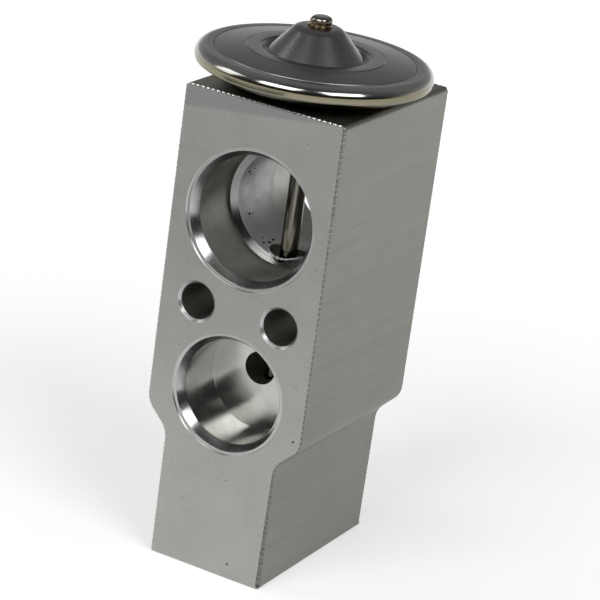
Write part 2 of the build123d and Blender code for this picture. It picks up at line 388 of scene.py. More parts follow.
@dataclass(frozen=True)
class ExtrudedSide(Finish):
    """Side of the extruded bar, with fine die lines along the block's depth.

    Attributes:
        line_height: Width of the die lines.
        line_depth: Depth of those lines.
    """

    line_height: float = 0.35
    line_depth: float = 0.01

    def material(self) -> Material:
        """Builds the material."""
        tree = ShaderTree(self.name)
        here = tree.place()
        lines = tree.noise(tree.place(scale=(1, 0.018, 1)), self.line_height, 4.0, 0.7)
        broad = tree.noise(tree.place(scale=(1, 0.05, 1)), 2.6, 2.0)
        clouds = tree.noise(here, 12.0, 2.0)
        grain = tree.noise(here, 0.12, 2.0)
        tone = tree.total((lines, 0.65), (broad, 0.2), (clouds, 0.15))
        colour = self.tinted(tree, tree.span(tone, 0.34, 0.66), 0.16)
        rough = tree.span(lines, 0.25, 0.75, self.roughness - 0.08, self.roughness + 0.08)
        normal = tree.bump(grain, 0.003, tree.bump(lines, self.line_depth))
        return tree.finish(colour, rough, normal)


@dataclass(frozen=True)
class TurnedPort(Finish):
    """Surfaces of one port, with tool rings round its axis.

    Attributes:
        centre: Point on the port's axis.
        pitch: Feed of the tool per turn.
        ring_depth: Depth of the tool rings.
        stain: How much the colour changes from place to place, 0 to 1.
        spread: How much wider the tool rings spread the light across than along them.
    """

    centre: Point = (0, 0, 0)
    pitch: float = 0.09
    ring_depth: float = 0.0012
    stain: float = 0.08
    spread: float = 0.7

    def material(self) -> Material:
        """Builds the material."""
        tree = ShaderTree(self.name)
        here = tree.place()
        outward = tree.place(self.centre, (1, 0, 1))
        around = tree.node("ShaderNodeVectorMath", outward, (0, 1, 0), operation="CROSS_PRODUCT")
        tree.feed(tree.shader.inputs["Tangent"], around.outputs[0])
        tree.shader.inputs["Anisotropic"].default_value = self.spread
        tree.shader.inputs["Anisotropic Rotation"].default_value = TANGENT_TURN
        travel = tree.total((tree.length(outward), 1.0), (tree.axis(here, "Y"), 1.0))
        strength = tree.noise(tree.vector(travel), 0.35, 3.0, 0.7)
        rings = tree.math("MULTIPLY", tree.waves(travel, self.pitch), strength)
        tone = tree.total((tree.noise(here, 2.2, 4.0, 0.6), 0.7), (strength, 0.3))
        colour = self.tinted(tree, tree.span(tone, *NOISE_SPAN), self.stain)
        uneven = tree.math("ADD", strength, tree.noise(here, 3.0, 2.0))
        rough = tree.span(uneven, 0.6, 1.4, self.roughness * 0.75, self.roughness * 1.25)
        normal = tree.bump(rings, self.ring_depth, tree.bump(strength, self.ring_depth * 4))
        return tree.finish(colour, rough, normal)


@dataclass(frozen=True)
class BareCut(Finish):
    """Freshly cut or torn aluminium on broken edges, burrs and pits. The darker copy on the front's
    right-hand edges and the near-black one in the pits are painted shade, and the burr's near-white
    one is a painted highlight.

    Attributes:
        grain: Size of the grain.
        depth: Depth of the grain.
    """

    grain: float = 0.12
    depth: float = 0.01

    def material(self) -> Material:
        """Builds the material."""
        tree = ShaderTree(self.name)
        grain = tree.noise(tree.place(), self.grain, 3.0)
        colour = self.tinted(tree, tree.span(grain, *NOISE_SPAN), 0.15)
        rough = tree.span(grain, *NOISE_SPAN, self.roughness - 0.08, self.roughness + 0.08)
        return tree.finish(colour, rough, tree.bump(grain, self.depth))


@dataclass(frozen=True)
class PressedSteel(Finish):
    """Pressed stainless sheet: satin, with soft draw marks round the axis and faint spangle.

    Attributes:
        spangle: Size of the patches where the sheet was stretched.
        spangle_low: Radius inside which the spangle is strong.
        draw_depth: Depth of the marks that the press left round the axis.
        shade_and_highlight: Radii and the share of the colour that is left there, which paints
            shade and highlight by radius.
        gloss: Radii and the roughness there.
        warm: Colour of the heat tint near the weld.
        warm_height: Height below which the tint shows, or 0 for none.
    """

    spangle: float = 0.6
    spangle_low: float = 7.8
    draw_depth: float = 0.002
    shade_and_highlight: Stops = ((0.0, 1.0), (22.0, 1.0))
    gloss: Stops = ((0.0, 0.2), (22.0, 0.2))
    warm: Colour = (0.2, 0.183, 0.122)
    warm_height: float = 0.0

    def material(self) -> Material:
        """Builds the material."""
        tree = ShaderTree(self.name)
        radius = tree.length(tree.place(scale=(1, 1, 0)))
        draw = tree.noise(tree.vector(radius), 0.5, 3.0, 0.7)
        patches = tree.noise(tree.place(), self.spangle, 3.0, 0.65)
        inner = tree.span(radius, self.spangle_low - 1.5, self.spangle_low + 1.0, 1.0, 0.12)
        mottle = tree.swing(patches, inner, 0.0)
        tone = tree.swing(draw, 0.3, tree.math("MULTIPLY_ADD", mottle, 1.4, 0.5))
        colour = self.tinted(tree, tree.span(tone, 0.2, 0.8), 0.28)
        # Painted shade and highlight: the colour is darkened by radius as the stops give.
        colour = tree.mix(tree.curve(radius, self.shade_and_highlight), (0.0, 0.0, 0.0), colour)
        if self.warm_height:
            height = tree.axis(tree.place(), "Z")
            near = tree.span(height, self.warm_height, self.warm_height + 0.8, 1.0, 0.0)
            colour = tree.mix(near, colour, self.warm)
        rough = tree.swing(tone, -self.roughness, tree.curve(radius, self.gloss))
        normal = tree.bump(patches, self.draw_depth, tree.bump(draw, self.draw_depth))
        return tree.finish(colour, rough, normal)


@dataclass(frozen=True)
class SolderedPin(Finish):
    """Pin of the charging hole, with solder round its neck.

    Attributes:
        solder: Colour of the solder.
        solder_top: Height that the solder reaches.
    """

    solder: Colour = (0.115, 0.085, 0.048)
    solder_top: float = 101.25

    def material(self) -> Material:
        """Builds the material."""
        tree = ShaderTree(self.name)
        patches = tree.noise(tree.place(), 0.6, 3.0)
        edge = tree.swing(patches, 0.9, tree.axis(tree.place(), "Z"))
        low = tree.span(edge, self.solder_top - 0.25, self.solder_top + 0.2, 1.0, 0.0)
        colour = tree.mix(low, self.tinted(tree, patches, 0.2), self.solder)
        return tree.finish(colour, self.roughness, tree.bump(patches, 0.008))


@dataclass(frozen=True)
class GroundRod(Finish):
    """Ground stainless rod with fine rings from the centreless grinder and a warm cast."""

    def material(self) -> Material:
        """Builds the material."""
        tree = ShaderTree(self.name)
        rings = tree.noise(tree.place(scale=(0.05, 0.05, 1)), 0.12, 3.0)
        colour = self.tinted(tree, tree.noise(tree.place(scale=(1, 1, 0.3)), 1.2, 2.0), 0.1)
        rough = tree.span(rings, *NOISE_SPAN, self.roughness * 0.8, self.roughness * 1.3)
        return tree.finish(colour, rough, tree.bump(rings, 0.0015))


@dataclass(frozen=True)
class PlainMetal(Finish):
    """Plain cut on the ports' leads, and the small parts inside the valve.

    Attributes:
        depth: Depth of the grain.
        change: How much the colour changes from place to place.
    """

    depth: float = 0.002
    change: float = 0.1

    def material(self) -> Material:
        """Builds the material."""
        tree = ShaderTree(self.name)
        grain = tree.noise(tree.place(scale=(0.3, 0.3, 1)), 0.25, 3.0)
        colour = self.tinted(tree, tree.noise(tree.place(), 1.5, 3.0), self.change)
        rough = tree.span(grain, *NOISE_SPAN, self.roughness * 0.8, self.roughness * 1.25)
        return tree.finish(colour, rough, tree.bump(grain, self.depth))


@dataclass(frozen=True)
class SealRubber(Finish):
    """Moulded seal rubber: dull, slightly dusty, with a faint sheen of oil."""

    def material(self) -> Material:
        """Builds the material."""
        tree = ShaderTree(self.name)
        grain = tree.noise(tree.place(), 0.2, 3.0)
        film = tree.noise(tree.place(), 1.8, 2.0)
        rough = tree.span(film, *NOISE_SPAN, self.roughness - 0.12, self.roughness + 0.12)
        return tree.finish(self.tinted(tree, film, 0.35), rough, tree.bump(grain, 0.01), 0.0)


@dataclass(frozen=True)
class Corner:
    """Corner of a turned outline.

    Attributes:
        radius: Distance from the axis.
        height: Place along the axis.
        rounding: Radius of the arc at this corner.
        skin: Material slot of what follows the corner.
    """

    radius: float
    height: float
    rounding: float = 0.0
    skin: int = 0


def rounded(corners: list[Corner], closed: bool) -> list[tuple[float, float, int]]:
    """Points of an outline with its corners rounded.

    Args:
        corners: Corners in order.
        closed: Whether the last corner joins the first.

    Returns:
        Radius, height and skin of each point.
    """
    points: list[tuple[float, float, int]] = []
    count = len(corners)
    for index, corner in enumerate(corners):
        here = Vector((corner.radius, corner.height))
        end = not closed and index in (0, count - 1)
        if corner.rounding <= 0 or end:
            points.append((here.x, here.y, corner.skin))
            continue
        before, after = corners[index - 1], corners[(index + 1) % count]
        to_before = (Vector((before.radius, before.height)) - here).normalized()
        to_after = (Vector((after.radius, after.height)) - here).normalized()
        half = math.acos(max(-1.0, min(1.0, to_before.dot(to_after)))) / 2
        turn = math.pi - 2 * half
        if turn < STRAIGHT:
            points.append((here.x, here.y, corner.skin))
            continue
        centre = here + (to_before + to_after).normalized() * (corner.rounding / math.sin(half))
        start = here + to_before * (corner.rounding / math.tan(half)) - centre
        sign = 1 if to_before.x * to_after.y - to_before.y * to_after.x < 0 else -1
        steps = max(2, math.ceil(turn / ARC_STEP))
        for step in range(steps + 1):
            angle = sign * turn * step / steps
            x = start.x * math.cos(angle) - start.y * math.sin(angle)
            y = start.x * math.sin(angle) + start.y * math.cos(angle)
            points.append((centre.x + x, centre.y + y, corner.skin))
    return points


def new_object(name: str, work: bmesh.types.BMesh, materials: list[Material]) -> Piece:
    """Object from a bmesh in millimetres, shaded smooth with its sharp edges kept.

    Args:
        name: Name of the object.
        work: The bmesh, which is freed.
        materials: Its material slots.

    Returns:
        The new object, linked to the scene.
    """
    mesh = bpy.data.meshes.new(name)
    work.to_mesh(mesh)
    work.free()
    mesh.transform(Matrix.Scale(MM, 4))
    for material in materials:
        mesh.materials.append(material)
    made = bpy.data.objects.new(name, mesh)
    bpy.context.scene.collection.objects.link(made)
    shade(made)
    return made


def shade(piece: Piece) -> None:
    """Shades a piece smooth, apart from its sharp edges."""
    piece.data.polygons.foreach_set("use_smooth", [True] * len(piece.data.polygons))
    piece.data.set_sharp_from_angle(angle=SHARP_ANGLE)
    piece.data.update()


def turned(
    name: str,
    corners: list[Corner],
    materials: list[Material],
    closed: bool = False,
    facets: int = TURNED_FACETS,
    place: Matrix | None = None,
) -> Piece:
    """Solid turned about Z.

    Args:
        name: Name of the object.
        corners: Outline, from axis to axis, or a loop when closed.
        materials: Material slots that the corners' skins count in.
        closed: Whether the outline is a loop that stays clear of the axis.
        facets: Facets round the axis.
        place: Where the turned solid goes, in millimetres.

    Returns:
        The new object.
    """
    outline = rounded(corners, closed)
    turn = [math.tau * k / facets for k in range(facets)]
    work = bmesh.new()
    rings: list[list[bmesh.types.BMVert]] = []
    for radius, height, _ in outline:
        spots = [(radius * math.cos(a), radius * math.sin(a), height) for a in turn]
        if radius < AXIS_RADIUS:
            spots = [(0, 0, height)]
        rings.append([work.verts.new(spot) for spot in spots])
    for index in range(len(rings) if closed else len(rings) - 1):
        first, second = rings[index], rings[(index + 1) % len(rings)]
        if len(first) == 1 and len(second) == 1:
            continue
        for k in range(facets):
            n = (k + 1) % facets
            around = [first[0]] if len(first) == 1 else [first[k], first[n]]
            around += [second[0]] if len(second) == 1 else [second[n], second[k]]
            work.faces.new(around).material_index = outline[index][2]
    bmesh.ops.remove_doubles(work, verts=work.verts, dist=POLE_WELD)
    bmesh.ops.recalc_face_normals(work, faces=work.faces)
    if place is not None:
        bmesh.ops.transform(work, matrix=place, verts=work.verts)
    return new_object(name, work, materials)


def plain_mesh(piece: Piece) -> None:
    """Turns the result of a piece's modifiers into its mesh and removes them."""
    graph = bpy.context.evaluated_depsgraph_get()
    mesh = bpy.data.meshes.new_from_object(piece.evaluated_get(graph), depsgraph=graph)
    piece.modifiers.clear()
    piece.data = mesh
    mesh.name = piece.name


def carve(piece: Piece, cutter: Piece) -> None:
    """Cuts a piece with another object, whose materials line the cut, and removes that object.

    Args:
        piece: What is cut.
        cutter: What it is cut with.
    """
    modifier = piece.modifiers.new("carve", "BOOLEAN")
    modifier.operation = "DIFFERENCE"
    modifier.solver = "EXACT"
    modifier.material_mode = "TRANSFER"
    modifier.object = cutter
    plain_mesh(piece)
    bpy.data.objects.remove(cutter)
    work = bmesh.new()
    work.from_mesh(piece.data)
    bmesh.ops.remove_doubles(work, verts=work.verts, dist=WELD * MM)
    work.to_mesh(piece.data)
    work.free()


class ShapeTree(NodeTree):
    """Geometry Nodes tree that takes and gives geometry."""

    def __init__(self, name: str) -> None:
        """Makes the tree."""
        super().__init__(bpy.data.node_groups.new(name, "GeometryNodeTree"))
        for way in ("INPUT", "OUTPUT"):
            self.tree.interface.new_socket("Geometry", in_out=way, socket_type="NodeSocketGeometry")
        self.sockets: dict[str, str] = {}
        self.entry = self.tree.nodes.new("NodeGroupInput")
        self.exit = self.tree.nodes.new("NodeGroupOutput")

    def size(self, name: str) -> Socket:
        """Adds a named number to the tree's inputs.

        Args:
            name: Name of the input.

        Returns:
            Its socket inside.
        """
        made = self.tree.interface.new_socket(name, in_out="INPUT", socket_type="NodeSocketFloat")
        self.sockets[name] = made.identifier
        return next(s for s in self.entry.outputs if s.identifier == made.identifier)

    def named(self, name: str, kind: str = "FLOAT") -> Socket:
        """Reads a named attribute."""
        made = self.node("GeometryNodeInputNamedAttribute", name, data_type=kind)
        return made.outputs["Attribute"]

    def close(self, geometry: Socket, *materials: Material) -> None:
        """Ends the tree in Realize Instances and Set Material.

        Args:
            geometry: What the tree has made.
            materials: One for each value of the attribute skin, or one for all.
        """
        shape = self.node("GeometryNodeRealizeInstances", geometry).outputs[0]
        for index, material in enumerate(materials):
            chosen = None
            if len(materials) > 1:
                pair = (self.named("skin", "INT"), index)
                same = self.node("FunctionNodeCompare", *pair, data_type="INT", operation="EQUAL")
                chosen = same.outputs[0]
            shape = self.node("GeometryNodeSetMaterial", shape, chosen, material).outputs[0]
        self.feed(self.exit.inputs[0], shape)

    def run(self, piece: Piece, **sizes: float) -> None:
        """Runs the tree on a piece and leaves a plain mesh.

        Args:
            piece: What the tree works on.
            sizes: Values of the tree's named inputs.
        """
        modifier = piece.modifiers.new(self.tree.name, "NODES")
        modifier.node_group = self.tree
        for name, value in sizes.items():
            modifier[self.sockets[name]] = value
        plain_mesh(piece)
        shade(piece)


def mount(piece: Piece, body: Body, slot: Slot, *nodes: str) -> None:
    """Puts a piece on its body, in place of CAD nodes, and logs it.

    Args:
        piece: The finished piece.
        body: Body that it rides on.
        slot: Material slot of the record; not used.
        nodes: CAD nodes that it stands for.
    """
    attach(piece, body.value)
    if nodes:
        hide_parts(*nodes)
    LOG.info("%s: %d faces on %s", piece.name, len(piece.data.polygons), body.value)


def paint(node: Piece, material: Material) -> None:
    """Gives a CAD node one material."""
    node.data.materials.clear()
    node.data.materials.append(material)
    LOG.info("%s: CAD node with %s", node.name, material.name)


@dataclass(frozen=True)
class EdgeBreak:
    """How wide the broken edge is along one stretch of the bar's outline.

    Attributes:
        reach: Width of the broken edge in the middle of a tooth mark.
        ripple: How much narrower it is between two marks.
    """

    reach: float
    ripple: float


@dataclass(frozen=True)
class Port:
    """Port that is bored into one face of the block.

    Attributes:
        face: Face that it opens in.
        height: Height of its axis.
        ring: Radius of its ring face.
        bore: Radius of its bore.
        depth: Depth of its bore.
        ring_skin: Surface of the ring and its rim.
        wall_skin: Surface of the bore and its end.
        through: Radius that the shoulder at its end leads to, or 0 for a flat end.
    """

    face: Face
    height: float
    ring: float
    bore: float
    depth: float
    ring_skin: Skin
    wall_skin: Skin
    through: float = 0.0


@dataclass(frozen=True)
class Hole:
    """Plain round hole that is drilled from one face of the block.

    Attributes:
        face: Face that it starts from.
        height: Height of its axis.
        radius: Its radius.
        depth: Its depth.
        skin: Its surface.
        facets: Facets round it.
    """

    face: Face
    height: float
    radius: float
    depth: float
    skin: Skin = Skin.DRILLED
    facets: int = SMALL_FACETS


@dataclass
class Block:
    """Machined block with its ports.

    Attributes:
        setback: Distance from the valve axis to the front face.
        edge_profile: Loops of a broken edge, each with its share inwards and its share in depth.
        over: How far a cutter starts outside the block.
        overlap: How far a port's shoulder runs on inside the bore that it leads to.
        wall_step: Distance between the loops of faces along a drilled wall.
        face_pits: X, Z and size of the torn pits on the front face.
        bore_pits: Place and size of the torn pits in the suction bore.
        pit_growth: Least and most that a point of a pit is pushed out.
        burr_span: Degrees at which the burr starts and ends round the rod's hole.
        axis_bores: Radii and heights of the bores on the valve axis.
    """

    width: float = 32.0
    depth: float = 38.9
    height: float = 88.7
    foot_width: float = 23.0
    setback: float = 16.25
    shoulder_height: float = 28.65
    shoulder_radius: float = 4.0
    top_radius: float = 0.9
    foot_radius: float = 0.5
    tooth_pitch: float = 1.02
    steps_per_tooth: int = 8
    edge_profile: tuple[tuple[float, float], ...] = ((1.0, 0.0), (0.75, 0.55), (0.0, 1.0))
    foot_edge: EdgeBreak = EdgeBreak(0.2, 0.05)
    neck_edge: EdgeBreak = EdgeBreak(0.25, 0.12)
    top_edge: EdgeBreak = EdgeBreak(0.3, 0.26)
    plain_edge: EdgeBreak = EdgeBreak(0.28, 0.1)
    least_break: float = 0.04
    suction: Port = Port(
        Face.FRONT, 67.5, 13.0, 11.3, 12.4, Skin.SUCTION_RING, Skin.SUCTION_WALL, through=10.0
    )
    outlet: Port = Port(Face.FRONT, 34.6, 11.4, 9.7, 11.4, Skin.OUTLET_RING, Skin.OUTLET_WALL)
    liquid: Port = Port(Face.REAR, 27.8, 9.2, 7.6, 12.0, Skin.LIQUID_WALL, Skin.LIQUID_WALL)
    outlet_hole: float = 3.1
    outlet_hole_height: float = 36.6
    liquid_hole: float = 2.6
    liquid_hole_height: float = 26.2
    rim_flare: float = 0.06
    ring_inset: float = 0.12
    ring_depth: float = 0.25
    lead_widening: float = 1.05
    lead_depth: float = 1.95
    bolt_spacing: float = 17.0
    bolt_height: float = 49.9
    bolt_radius: float = 3.35
    bolt_chamfer: float = 0.5
    over: float = 1.0
    overlap: float = 0.3
    wall_step: float = 1.9
    pit_seed: int = 7
    pit_growth: tuple[float, float] = (0.65, 1.15)
    face_pit_depth: float = 0.12
    face_pit_height: float = 0.7
    bore_pit_form: Point = (0.8, 1.4, 0.9)
    burr_hole: float = 3.62
    burr_thickness: float = 0.26
    burr_least: float = 0.03
    burr_span: tuple[float, float] = (-150.0, -20.0)
    burr_points: int = 150
    burr_sides: int = 8
    burr_scale: float = 2200.0
    face_pits: tuple[Point, ...] = (
        (14.37, 30.12, 0.34), (4.6, 2.8, 0.3), (13.1, 40.2, 0.16), (13.7, 39.9, 0.12),
        (-13.4, 33.2, 0.13), (-11.2, 57.0, 0.12), (14.2, 62.3, 0.14), (2.2, 18.6, 0.13),
        (-6.3, 12.4, 0.12), (9.4, 84.0, 0.12),
    )
    bore_pits: tuple[tuple[float, float, float, float], ...] = (
        (-9.56, -0.9, 70.6, 0.36), (-9.65, 0.05, 69.9, 0.26), (-9.4, 0.7, 71.0, 0.22),
        (-9.9, -1.55, 68.9, 0.16), (-8.8, -0.3, 62.7, 0.34), (-8.7, 0.8, 62.6, 0.2),
        (-4.6, -1.3, 58.6, 0.34), (-4.2, 0.2, 58.4, 0.42), (-4.4, 1.7, 58.5, 0.36),
        (-5.5, -0.4, 59.1, 0.22),
    )
    axis_bores: Stops = (
        (0, -1), (7.5, -1), (6.0, 0.5), (6.0, 7.4), (5.6, 7.4), (5.6, 22.3), (3.7, 22.8),
        (3.7, 30.2), (2.2, 30.2), (1.6, 30.8), (1.6, 36.6), (1.65, 36.6), (1.65, 52.2), (3.6, 52.2),
        (3.6, 67.5), (4.5, 67.5), (4.5, 82.2), (9.0, 82.2), (9.0, 87.1), (10.66, 87.1),
        (10.66, 89.7), (0, 89.7),
    )
    materials: list[Material] = field(init=False, default_factory=list)

    def finishes(self) -> list[Material]:
        """Materials of the block, in the order of Skin."""
        suction, outlet, liquid = (
            (0, 0, port.height) for port in (self.suction, self.outlet, self.liquid)
        )
        ring_grey = (0.44, 0.445, 0.43)
        bore_grey = (0.46, 0.46, 0.438)
        table = {
            Skin.MILLED: MilledFace("milled_aluminium", (0.385, 0.388, 0.362), 0.44),
            Skin.EXTRUDED: ExtrudedSide("extruded_aluminium", (0.238, 0.235, 0.214), 0.46),
            Skin.BROKEN_EDGE: BareCut("broken_edge", (0.42, 0.425, 0.425), 0.33, 0.2, 0.004),
            # Darker copy of the broken edge for the front's right-hand edges: painted shade.
            Skin.SHADED_EDGE: BareCut("shaded_edge", (0.21, 0.21, 0.203), 0.45, 0.25, 0.01),
            Skin.PORT_LEAD: PlainMetal("port_lead", (0.36, 0.366, 0.366), 0.2, 0.0005, 0.04),
            Skin.SUCTION_RING: TurnedPort(
                "suction_ring", ring_grey, 0.34, suction, ring_depth=0.0004
            ),
            Skin.SUCTION_WALL: TurnedPort(
                "suction_wall", (0.36, 0.36, 0.335), 0.34, suction, stain=0.1
            ),
            Skin.SUCTION_SHOULDER: TurnedPort(
                "suction_shoulder", (0.2, 0.2, 0.194), 0.22, suction, pitch=0.3, ring_depth=0.006
            ),
            Skin.SUCTION_INNER: TurnedPort(
                "suction_inner", (0.43, 0.43, 0.422), 0.42, suction, stain=0.05
            ),
            Skin.OUTLET_RING: TurnedPort("outlet_ring", ring_grey, 0.34, outlet, ring_depth=0.0004),
            Skin.OUTLET_WALL: TurnedPort(
                "outlet_wall", bore_grey, 0.2, outlet, ring_depth=0.0005, stain=0.06, spread=0.8
            ),
            Skin.LIQUID_WALL: TurnedPort("liquid_wall", bore_grey, 0.22, liquid),
            Skin.DRILLED: BareCut("drilled_aluminium", (0.44, 0.44, 0.41), 0.4, 0.3, 0.006),
            # Near-black inside the pits: painted shade.
            Skin.PIT: BareCut("pit", (0.07, 0.07, 0.065), 0.6, 0.1, 0.01),
        }
        return [table[skin].material() for skin in Skin]

    def outline(self) -> list[Vector]:
        """Outline of the bar.

        Returns:
            Points in X and Z, evenly spaced, counter-clockwise from the front.
        """
        half, foot = self.width / 2, self.foot_width / 2
        slope = half - foot
        right = [
            Corner(foot, 0, self.foot_radius),
            Corner(foot, self.shoulder_height - slope, self.shoulder_radius),
            Corner(half, self.shoulder_height, self.shoulder_radius),
            Corner(half, self.height, self.top_radius),
        ]
        left = [Corner(-c.radius, c.height, c.rounding) for c in reversed(right)]
        raw = [Vector((x, z)) for x, z, _ in rounded(right + left, True)]
        lengths = [(raw[(k + 1) % len(raw)] - raw[k]).length for k in range(len(raw))]
        total = sum(lengths)
        count = round(total / self.tooth_pitch) * self.steps_per_tooth
        points = []
        index, passed = 0, 0.0
        for step in range(count):
            want = total * step / count
            while passed + lengths[index] < want:
                passed += lengths[index]
                index += 1
            share = (want - passed) / lengths[index]
            points.append(raw[index].lerp(raw[(index + 1) % len(raw)], share))
        return points

    def edge_break(self, face: Face, point: Vector) -> EdgeBreak:
        """Broken edge at one place of the outline.

        Args:
            face: Face whose edge it is.
            point: Place in X and Z.

        Returns:
            How wide the edge is there. It grows towards the foot on the right of the neck, and
            towards the top on the right of the front.
        """
        if point.y < 0.4:
            return self.foot_edge
        if point.y < self.shoulder_height - 1.0:
            share = 1 - point.y / self.shoulder_height
            return EdgeBreak(0.3 + 0.4 * share, 0.12) if point.x > 0 else self.neck_edge
        if point.y > self.height - 0.5:
            return self.top_edge
        if face is Face.REAR or point.x < 0:
            return self.plain_edge
        share = max(point.y - self.shoulder_height, 0) / (self.height - self.shoulder_height)
        return EdgeBreak(0.28 + 0.34 * share ** 2.2, 0.26)

    def bar(self) -> Piece:
        """The shouldered bar, whose broken edges carry the marks of the tool's teeth.

        Returns:
            The bar before any boring.
        """
        points = self.outline()
        count = len(points)
        work = bmesh.new()
        run, reach, ripple = (
            work.verts.layers.float.new(name) for name in ("run", "reach", "ripple")
        )
        slide = work.verts.layers.float_vector.new("slide")
        skin = work.faces.layers.int.new("skin")
        loops: list[list[bmesh.types.BMVert]] = []
        plan = [(Face.FRONT, *shares) for shares in self.edge_profile]
        plan += [(Face.REAR, *shares) for shares in reversed(self.edge_profile)]
        for face, across, along in plan:
            y = -self.setback if face is Face.FRONT else self.depth - self.setback
            loop = []
            for index, point in enumerate(points):
                tangent = (points[(index + 1) % count] - points[index - 1]).normalized()
                inward = Vector((-tangent.y, tangent.x))
                vert = work.verts.new((point.x, y, point.y))
                edge = self.edge_break(face, point)
                vert[run] = index / self.steps_per_tooth
                vert[reach] = edge.reach * MM
                vert[ripple] = edge.ripple * MM
                vert[slide] = Vector((inward.x * across, -face.value * along, inward.y * across))
                loop.append(vert)
            loops.append(loop)
        side = len(self.edge_profile) - 1
        for index, (near, far) in enumerate(zip(loops, loops[1:])):
            for k in range(count):
                n = (k + 1) % count
                # The front's right-hand broken edges get the darker copy: painted shade.
                right = points[k].x > 0 and points[k].y < self.height - self.top_radius
                kind = Skin.SHADED_EDGE if index < side and right else Skin.BROKEN_EDGE
                made = work.faces.new((near[n], near[k], far[k], far[n]))
                made[skin] = Skin.EXTRUDED if index == side else kind
        for loop in (loops[0], list(reversed(loops[-1]))):
            work.faces.new(loop)[skin] = Skin.MILLED
        bar = new_object("machined_block", work, self.materials)
        self.tooth_marks().run(bar, unevenness=0.5, fade=0.3, least=self.least_break * MM)
        return bar

    def tooth_marks(self) -> ShapeTree:
        """Tree that opens the broken edges, one hollow for each tooth of the tool.

        Returns:
            The tree, whose inputs are the unevenness of the marks, how fast it changes, and the
            least width of the broken edge in metres.
        """
        shape = ShapeTree("tooth_marks")
        uneven, fade, least = (shape.size(name) for name in ("unevenness", "fade", "least"))
        run = shape.named("run")
        across = shape.math("MULTIPLY_ADD", shape.math("FRACT", run), 2.0, -1.0)
        noise = shape.node("ShaderNodeTexNoise", shape.vector(shape.math("MULTIPLY", run, fade)))
        change = shape.swing(noise.outputs[0], uneven, 1.0)
        squared = shape.math("MULTIPLY", across, across)
        narrower = shape.math("MULTIPLY", shape.named("ripple"), squared)
        wide = shape.math("MULTIPLY", shape.named("reach"), change)
        amount = shape.math("MAXIMUM", shape.math("SUBTRACT", wide, narrower), least)
        slide = shape.named("slide", "FLOAT_VECTOR")
        offset = shape.node("ShaderNodeVectorMath", slide, amount, operation="SCALE")
        moved = shape.node("GeometryNodeSetPosition", shape.entry.outputs[0])
        shape.feed(moved.inputs["Offset"], offset.outputs[0])
        shape.close(moved.outputs[0], *self.materials[: Skin.SHADED_EDGE + 1])
        return shape

    def on_face(self, face: Face, height: float, sideways: float = 0.0) -> Matrix:
        """Place on a face, with Z going into the block."""
        y = -self.setback if face is Face.FRONT else self.depth - self.setback
        turn = Matrix.Rotation(math.radians(90 * face.value), 4, "X")
        return Matrix.Translation((sideways, y, height)) @ turn

    def port(self, port: Port) -> Piece:
        """Cutter of one port, with its ring face, its lead and its bore.

        Args:
            port: Sizes of the port.

        Returns:
            The cutter.
        """
        ring, bore, end = port.ring, port.bore, port.depth
        ring_skin, wall_skin = port.ring_skin, port.wall_skin
        corners = [
            Corner(0, -self.over, skin=ring_skin),
            Corner(ring + self.rim_flare, -self.over, skin=ring_skin),
            Corner(ring + self.rim_flare, 0.03, 0.03, ring_skin),
            Corner(ring - self.ring_inset, self.ring_depth, 0.08, ring_skin),
            Corner(bore + self.lead_widening, self.ring_depth, 0.12, Skin.PORT_LEAD),
            Corner(bore, self.lead_depth, 0.3, wall_skin),
        ]
        if port.through:
            inside = port.through - self.overlap
            end = port.depth + (bore - inside) / 2
            corners += [
                Corner(bore, port.depth, 0.1, Skin.SUCTION_SHOULDER),
                Corner(inside, end, skin=Skin.SUCTION_SHOULDER),
            ]
        else:
            corners.append(Corner(bore, end, 0.06, wall_skin))
        corners.append(Corner(0, end, skin=wall_skin))
        return turned("port", corners, self.materials, place=self.on_face(port.face, port.height))

    def drilled(self, hole: Hole) -> Piece:
        """Cutter of a plain round hole.

        Args:
            hole: Sizes of the hole.

        Returns:
            The cutter, with loops of faces along its wall.
        """
        length = hole.depth + self.over
        steps = math.ceil(length / self.wall_step)
        heights = [-self.over + length * k / steps for k in range(steps + 1)]
        corners = [Corner(0, -self.over, skin=hole.skin)]
        corners += [Corner(hole.radius, height, skin=hole.skin) for height in heights]
        corners.append(Corner(0, hole.depth, skin=hole.skin))
        place = self.on_face(hole.face, hole.height)
        return turned("hole", corners, self.materials, facets=hole.facets, place=place)

    def bolt_hole(self, side: int) -> Piece:
        """Cutter of one through hole for a fixing bolt.

        Args:
            side: -1 for the left hole, 1 for the right one.

        Returns:
            The cutter.
        """
        wide = self.bolt_radius + self.bolt_chamfer + self.over
        far = self.depth
        corners = [
            Corner(0, -self.over, skin=Skin.BROKEN_EDGE),
            Corner(wide, -self.over, skin=Skin.BROKEN_EDGE),
            Corner(self.bolt_radius, self.bolt_chamfer, 0.15, Skin.DRILLED),
            Corner(self.bolt_radius, far - self.bolt_chamfer, 0.15, Skin.BROKEN_EDGE),
            Corner(wide, far + self.over, skin=Skin.BROKEN_EDGE),
            Corner(0, far + self.over, skin=Skin.BROKEN_EDGE),
        ]
        place = self.on_face(Face.FRONT, self.bolt_height, side * self.bolt_spacing / 2)
        return turned("bolt_hole", corners, self.materials, facets=SMALL_FACETS, place=place)

    def pits(self) -> Piece:
        """Cutter of the small torn pits on the front face and in the suction bore.

        Returns:
            The cutter, one lump for each pit.
        """
        chance = random.Random(self.pit_seed)
        work = bmesh.new()
        spots = [
            (
                Vector((x, -self.setback, z)),
                Vector((size, self.face_pit_depth, size * self.face_pit_height)),
            )
            for x, z, size in self.face_pits
        ]
        spots += [
            (Vector((x, y, z)), Vector([size * part for part in self.bore_pit_form]))
            for x, y, z, size in self.bore_pits
        ]
        for middle, reach in spots:
            lump = bmesh.ops.create_icosphere(work, subdivisions=2, radius=1.0)
            for vert in lump["verts"]:
                vert.co = middle + vert.co * reach * chance.uniform(*self.pit_growth)
        for face in work.faces:
            face.material_index = Skin.PIT
        return new_object("pits", work, self.materials)

